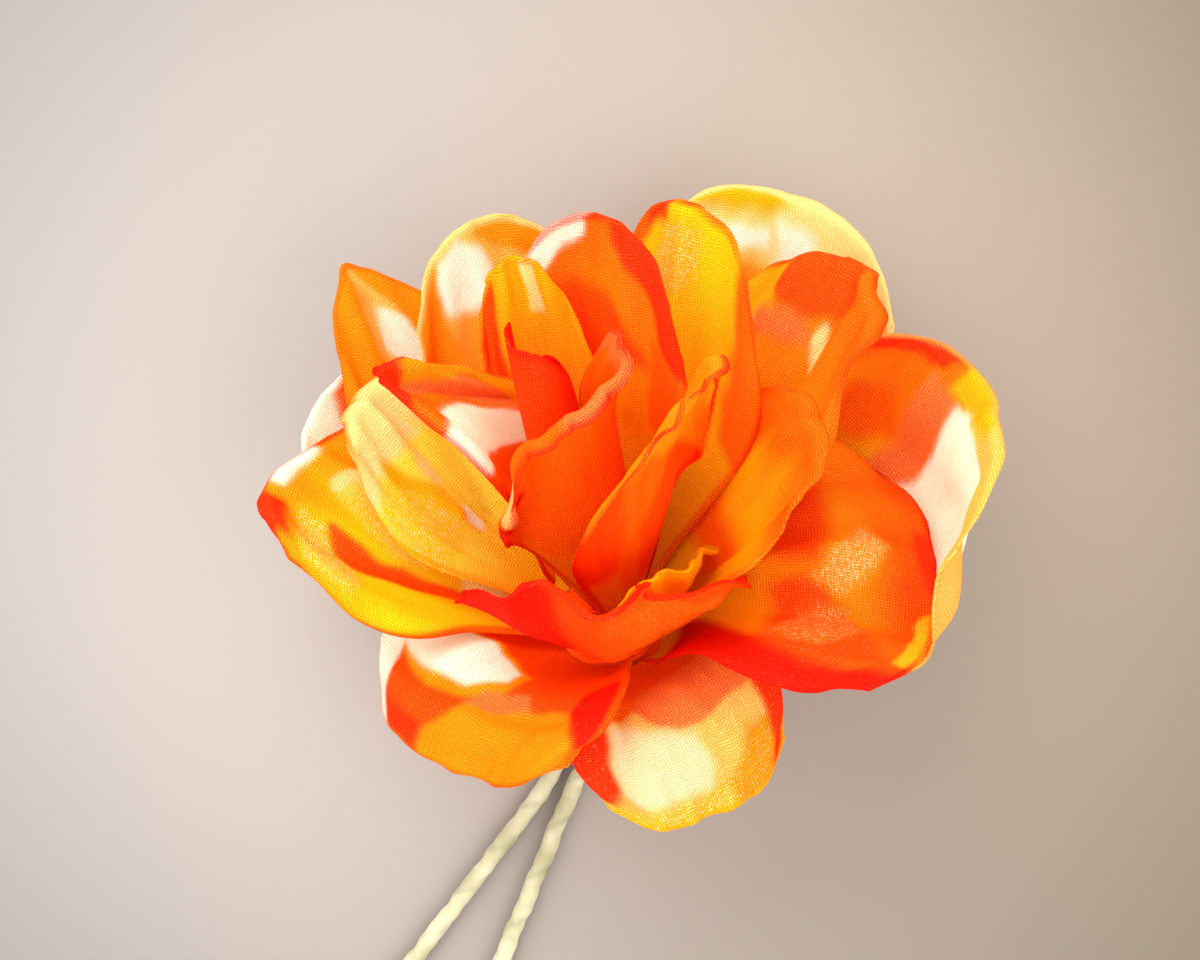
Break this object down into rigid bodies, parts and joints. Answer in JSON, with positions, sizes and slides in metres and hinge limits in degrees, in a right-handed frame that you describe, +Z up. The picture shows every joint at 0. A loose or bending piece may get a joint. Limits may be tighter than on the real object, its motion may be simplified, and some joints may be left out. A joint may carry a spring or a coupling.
{
  "type": "rose boutonniere",
  "caption": "Artificial fabric rose boutonniere of separate cupped petals round a rolled bud, on tape-wrapped wire stems, lying on its side.",
  "frame": {"origin": "centre of the bounding box's bottom, on the surface that the flower lies on", "axes": "+Z up from the surface, +Y along the length from the stem ends to the bloom, +X to the right as seen from above with the bloom at the top"},
  "size_m": [0.0698, 0.097, 0.0516],
  "materials": {
    "petal_cloth": "thin woven translucent cloth, yellow to orange with redder rims",
    "bud_cloth": "thin woven translucent cloth, deep orange-red",
    "tape": "wound crepe florist's tape, matt",
    "stem_tape": "wound crepe florist's tape, matt, pale green"
  },
  "bodies": {
    "root": {"bud": "bud_cloth", "petal_heart_left": "petal_cloth", "petal_heart_right": "petal_cloth", "petal_heart_back": "petal_cloth", "petal_heart_front": "petal_cloth", "petal_crown": "petal_cloth", "petal_front_inner": "petal_cloth", "petal_left_inner": "petal_cloth", "petal_tall": "petal_cloth", "petal_right_inner": "petal_cloth", "petal_front": "petal_cloth", "petal_ear": "petal_cloth", "petal_left": "petal_cloth", "petal_back_left": "petal_cloth", "petal_point_left": "petal_cloth", "petal_right_front": "petal_cloth", "petal_low_left": "petal_cloth", "petal_low_front": "petal_cloth", "petal_right": "petal_cloth", "petal_back_right": "petal_cloth", "petal_far_left": "petal_cloth", "petal_low_right": "petal_cloth", "petal_low_back": "petal_cloth", "core": "bud_cloth", "neck": "tape", "stem_left": "stem_tape", "stem_right": "stem_tape"}
  },
  "joints": []
}
